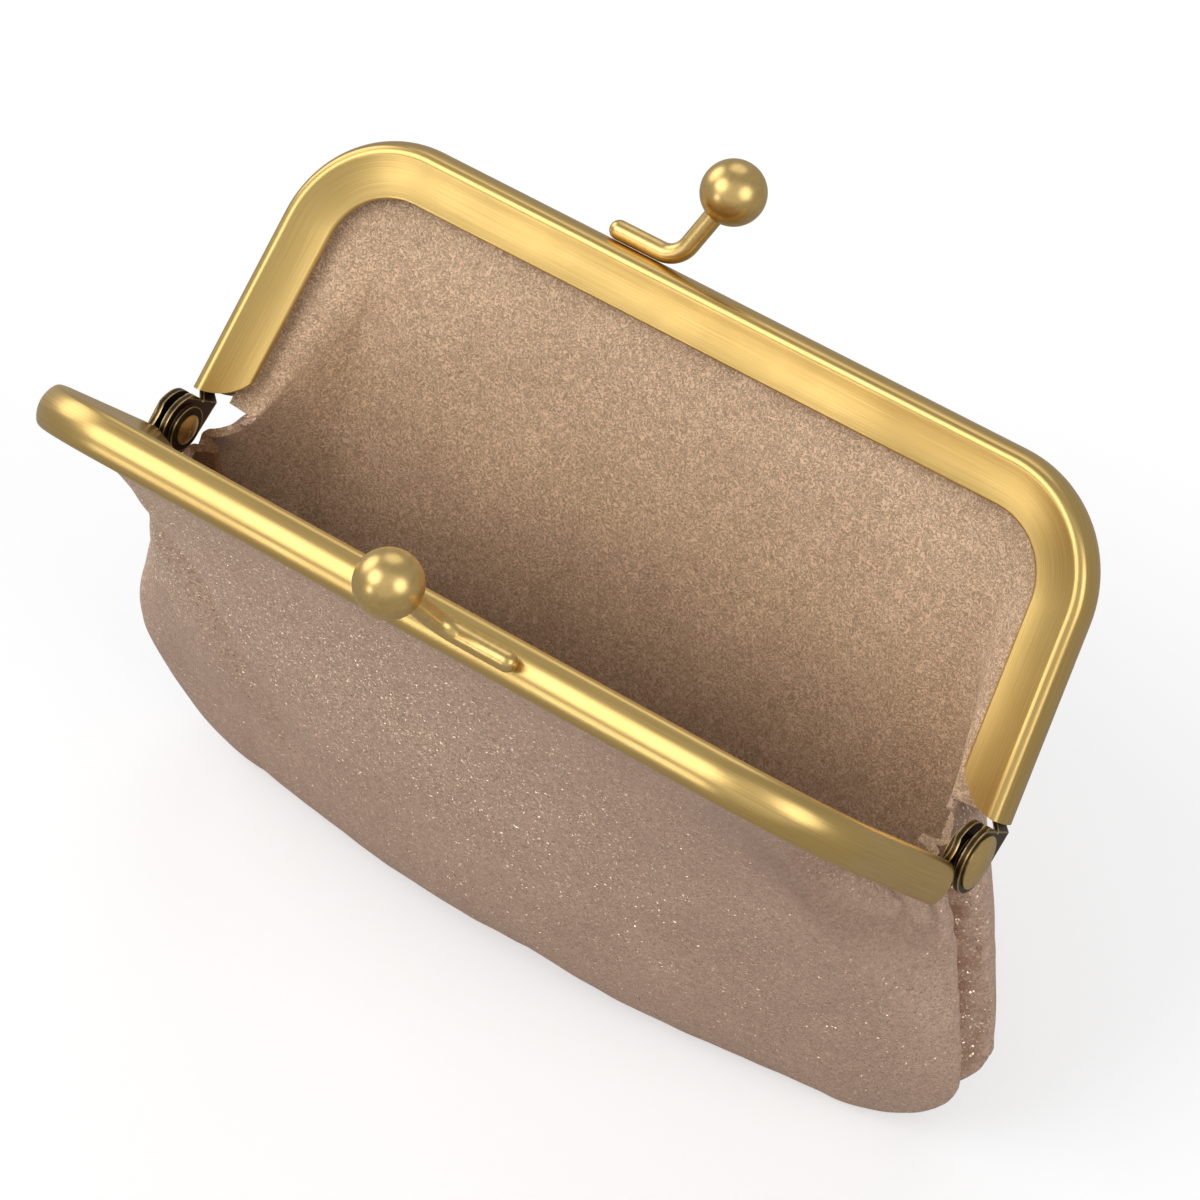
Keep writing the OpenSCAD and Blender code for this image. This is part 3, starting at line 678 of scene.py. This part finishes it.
def fold(at, line, depth, width):
    """Depth of a soft crease at points, by their distance from a line, running out at both of its ends."""
    line = np.array(line, dtype=float)
    steps = np.linspace(0, len(line) - 1, 40)
    dense = np.stack([np.interp(steps, np.arange(len(line)), line[:, k]) for k in range(3)], axis=1)
    ease = np.sin(np.linspace(0, math.pi, 40)) ** 0.6
    hollow = np.zeros(at.shape[:-1])
    for point, share in zip(dense, ease):
        near = np.exp(-np.sum((at - point) ** 2, axis=-1) / width ** 2)
        hollow = np.maximum(hollow, share * near)
    return depth * hollow


def wrinkles(side, s, t):
    """How far the hide stands out: soft dents all over, and wrinkles beside the hinges and the seams."""
    seed, beside = (11, 0.1) if side == "front" else (23, 0.28)
    far = (1 - np.abs(s)) * (MOUTH_HALF + SEAM_HALF) / 2
    run = (s * (MOUTH_HALF + SEAM_HALF) / 2)[:, None] + 0 * t[None, :]
    drop = (t * DROP)[None, :] + 0 * s[:, None]
    calm = plateau(t, 0.02, 0.2, 0.9, 1.0)[None, :]
    push = 0.2 * calm * waves(run, drop, 24, seed)
    push += 0.05 * calm * waves(run, drop, 7, seed + 1)
    near_hinge = plateau(far, 4, 9, 10, 22)[:, None] * plateau(t, 0.05, 0.3, 0.85, 1.0)[None, :]
    push += 0.15 * near_hinge * waves(run * 1.6, drop, 9, seed + 2)
    beside_seam = plateau(far, 3, 9, 34, 46)[:, None] * plateau(t, 0.78, 0.86, 0.95, 1.0)[None, :]
    push += beside * beside_seam * waves(run * 2.2, drop * 0.8, 6, seed + 3)
    return push


def channel_rows(tilt, s):
    """Rows of the hide that lie in the channel, from the hinge axis."""
    rows = []
    for w in CHANNEL_W:
        p, q, _ = mouth_points((1 - np.abs(s)) * MOUTH_HALF, w)
        row = tilted(tilt, p, q, HIDE_M)
        row[..., 0] *= np.where(s < 0, -1, 1)
        rows.append(row)
    return np.stack(rows, axis=1)


def skins(at, normal):
    """Points of the outer and the inner skin, kept above the ground and on their own side of the seam."""
    both = []
    for k in (1, -1):
        skin = at + k * HIDE_T / 2 * normal
        skin[..., 2] = np.maximum(skin[..., 2], -HINGE_H + (HIDE_T if k < 0 else 0))
        skin[..., 1] = np.minimum(skin[..., 1], 0)
        skin[:, -1, 1] = 0
        both.append(skin.reshape(-1, 3))
    points = np.concatenate(both)
    points[:, 2] += HINGE_H
    return points


def skin_faces(rows, mirrored):
    """Faces of the outer skin, the inner skin and the rim that joins them, and how many are outer ones."""
    n = MOUTH_COLS * rows
    faces = grid_faces(MOUTH_COLS, rows, flip=not mirrored)
    outer_count = len(faces)
    faces += grid_faces(MOUTH_COLS, rows, first=n, flip=mirrored)
    rim = [i * rows for i in range(MOUTH_COLS)]
    rim += [(MOUTH_COLS - 1) * rows + j for j in range(1, rows)]
    rim += [i * rows + rows - 1 for i in range(MOUTH_COLS - 2, -1, -1)]
    rim += range(rows - 2, 0, -1)
    for a, b in zip(rim, rim[1:] + rim[:1]):
        quad = [a, b, b + n, a + n]
        faces.append(quad[::-1] if mirrored else quad)
    return faces, outer_count


def painted_sheen_and_shade(side, s, t):
    """Painted light and shade on the hide, from -1 for painted shade to 1 for painted light."""
    # Painted light: a lighter band along the front's upper left, where the light falls, with more glinting
    # flakes
    band = plateau(t, 0.03, 0.12, 0.3, 0.55)
    painted_light = band[None, :] * (1 - smooth(s, -0.15, 0.5))[:, None]
    # Painted shade in the hollow below its right end
    hollow = np.exp(-((t[None, :] - s[:, None] + 0.32) / 0.13) ** 2) * smooth(s, 0.42, 0.62)[:, None]
    return (painted_light - hollow) * (side == "front")


def on_both(grid):
    """A grid of values, one for each point of the outer and of the inner skin."""
    return np.tile(grid.reshape(-1), 2)


def paint(obj, name, values):
    """Keeps one value per vertex, for the materials to read."""
    layer = obj.data.attributes.new(name, "FLOAT", "POINT")
    layer.data.foreach_set("value", values.astype(np.float32))


def panel_piece(name, side):
    """One panel of hide with its edge in the channel, finished outside and suede inside."""
    tilt = FRONT_TILT if side == "front" else BACK_TILT
    mirrored = side == "back"
    s = np.linspace(-1, 1, MOUTH_COLS)
    t = 1 - (1 - np.linspace(0, 1, DROP_ROWS)) ** ROW_CROWDING
    at = even_out(hang(tilt, s, t), s, t)
    push = wrinkles(side, s, t)
    for depth, width, line in FOLDS[side]:
        push -= fold(at + [0, 0, HINGE_H], line, depth, width)
    at = at + push[..., None] * hide_normals(at, tilt)
    normal = hide_normals(at, tilt)
    at = np.concatenate([channel_rows(tilt, s), at], axis=1)
    normal = np.concatenate([np.repeat(normal[:, :1], len(CHANNEL_W), axis=1), normal], axis=1)
    rows = at.shape[1]
    points = skins(at, normal)
    if mirrored:
        points[:, 1] *= -1
    faces, outer_count = skin_faces(rows, mirrored)
    index = [0] * outer_count + [1] * (len(faces) - outer_count)
    u = on_both(np.repeat((s * MOUTH_HALF)[:, None], rows, axis=1)) * MM
    v = on_both(np.repeat(np.arange(rows)[None, :], MOUTH_COLS, axis=0)) * FLAT_ROW * MM
    uv = [(u[k], v[k]) for f in faces for k in f]
    obj = make(name, points, faces, [HIDE, SUEDE], uv=uv, index=index, sharp=60)
    place = obj.data.attributes.new("rest", "FLOAT_VECTOR", "POINT")
    place.data.foreach_set("vector", (points * MM).astype(np.float32).ravel())
    share = np.tile(np.concatenate([np.zeros(len(CHANNEL_W)), t]), MOUTH_COLS * 2)
    # Painted shade on the suede, growing from mouth to seam and weaker on the right, where the light falls
    # inside
    lit = on_both(np.repeat((1 - 0.6 * smooth(s, 0.45, 0.75))[:, None], rows, axis=1))
    paint(obj, "deep", lit * smooth(share, 0.2, 0.85))
    # Painted light and shade on the front panel's hide, and none on the rows in the channel
    unworn = np.zeros((MOUTH_COLS, len(CHANNEL_W)))
    paint(obj, "worn", on_both(np.concatenate([unworn, painted_sheen_and_shade(side, s, t)], axis=1)))
    hang_between(obj, share)
    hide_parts(side + "_panel", side + "_hide_edge")


def hang_between(obj, share):
    """Sets the vertices to their share along the z axis, bakes the object's transform into the mesh, and puts
    them back.
    """
    mesh = obj.data
    real = np.empty(len(mesh.vertices) * 3)
    mesh.vertices.foreach_get("co", real)
    # The vertices stand at their share along one axis while the transform is baked, and then go back
    sharing = np.zeros((len(mesh.vertices), 3))
    sharing[:, 2] = np.clip(share, 0, 1)
    mesh.vertices.foreach_set("co", sharing.ravel())
    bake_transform(obj)
    mesh.vertices.foreach_set("co", real)
    mesh.update()


for side in ("front", "back"):
    frame_piece(side + "_channel_frame", side)
    clasp_wire(side)
    clasp_knob(side)
    panel_piece(side + "_hide_panel", side)

for name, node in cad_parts.items():
    if any(word in name for word in ("leaf", "spacer", "washer")):
        node.data.materials[0] = DARK_FACED
    elif "rivet" in name:
        node.data.materials[0] = BRASS_SMALL
    elif "paper_cord" in name:
        node.data.materials[0] = PAPER

# Studio
FLOOR_REACH = 3.0


def white_floor():
    """Pale floor. The camera sees it bright, with the purse's shadow, and the brass mirrors a greyer one."""
    mesh = bpy.data.meshes.new("floor")
    corners = [(-FLOOR_REACH, -FLOOR_REACH, 0), (FLOOR_REACH, -FLOOR_REACH, 0),
               (FLOOR_REACH, FLOOR_REACH, 0), (-FLOOR_REACH, FLOOR_REACH, 0)]
    mesh.from_pydata(corners, [], [(0, 1, 2, 3)])
    floor = bpy.data.objects.new("floor", mesh)
    bpy.context.scene.collection.objects.link(floor)
    mat, tree, bsdf = material("white floor")
    seen = add(tree, "ShaderNodeLightPath").outputs["Is Camera Ray"]
    albedo = add(tree, "ShaderNodeMix", data_type="RGBA", in0=seen, in6=(0.42, 0.41, 0.4, 1),
                 in7=(0.575, 0.58, 0.588, 1))
    glow = add(tree, "ShaderNodeMath", operation="MULTIPLY", in0=seen, in1=0.46)
    put(tree, bsdf, Base_Color=albedo.outputs[2], Roughness=0.9, Specular_IOR_Level=0.0,
        Emission_Color=(1, 1, 1, 1), Emission_Strength=glow.outputs["Value"])
    mesh.materials.append(mat)


white_floor()

world = bpy.data.worlds.new("studio")
bpy.context.scene.world = world
world.use_nodes = True
background = world.node_tree.nodes["Background"]
background.inputs["Color"].default_value = (1, 1, 1, 1)
background.inputs["Strength"].default_value = 0.44


def soft_light(name, toward, energy, spread):
    """A wide studio light, as a disc of that many degrees in the sky."""
    data = bpy.data.lights.new(name, "SUN")
    data.energy = energy
    data.angle = math.radians(spread)
    obj = bpy.data.objects.new(name, data)
    obj.rotation_euler = Vector(toward).to_track_quat("Z", "Y").to_euler()
    bpy.context.scene.collection.objects.link(obj)


soft_light("key", (-0.42, -0.55, 0.72), 0.95, 40)
soft_light("low front", (-0.39, -0.9, 0.17), 0.2, 16)
soft_light("front", (0.45, -0.6, 0.65), 0.35, 80)
soft_light("left", (-0.95, 0.1, 0.45), 0.74, 40)
soft_light("right", (0.9, -0.1, 0.5), 0.72, 40)
soft_light("back", (-0.3, 0.8, 0.8), 0.32, 40)

# The camera was solved from the photograph: its direction and distance from the point that it looks at, in
# metres, and its focal length in pixels of the 1200 x 1200 photograph
AZIMUTH, ELEVATION, DISTANCE = math.radians(36.23), math.radians(47.68), 0.668
TARGET = Vector((0.00107, 0.00757, HINGE_H * MM - 0.00013))
FOCAL_PIXELS, PHOTO_SIDE, SENSOR = 5327.6, 1200, 36
back = Vector((math.sin(AZIMUTH) * math.cos(ELEVATION),
               -math.cos(AZIMUTH) * math.cos(ELEVATION),
               math.sin(ELEVATION)))
camera_data = bpy.data.cameras.new("camera")
camera_data.lens = FOCAL_PIXELS / PHOTO_SIDE * SENSOR
camera_data.sensor_width = SENSOR
camera_data.clip_start, camera_data.clip_end = 0.01, 20
camera = bpy.data.objects.new("camera", camera_data)
camera.location = TARGET + DISTANCE * back
camera.rotation_euler = back.to_track_quat("Z", "Y").to_euler()
bpy.context.scene.collection.objects.link(camera)
bpy.context.scene.camera = camera
bpy.context.scene.view_settings.view_transform = "Standard"
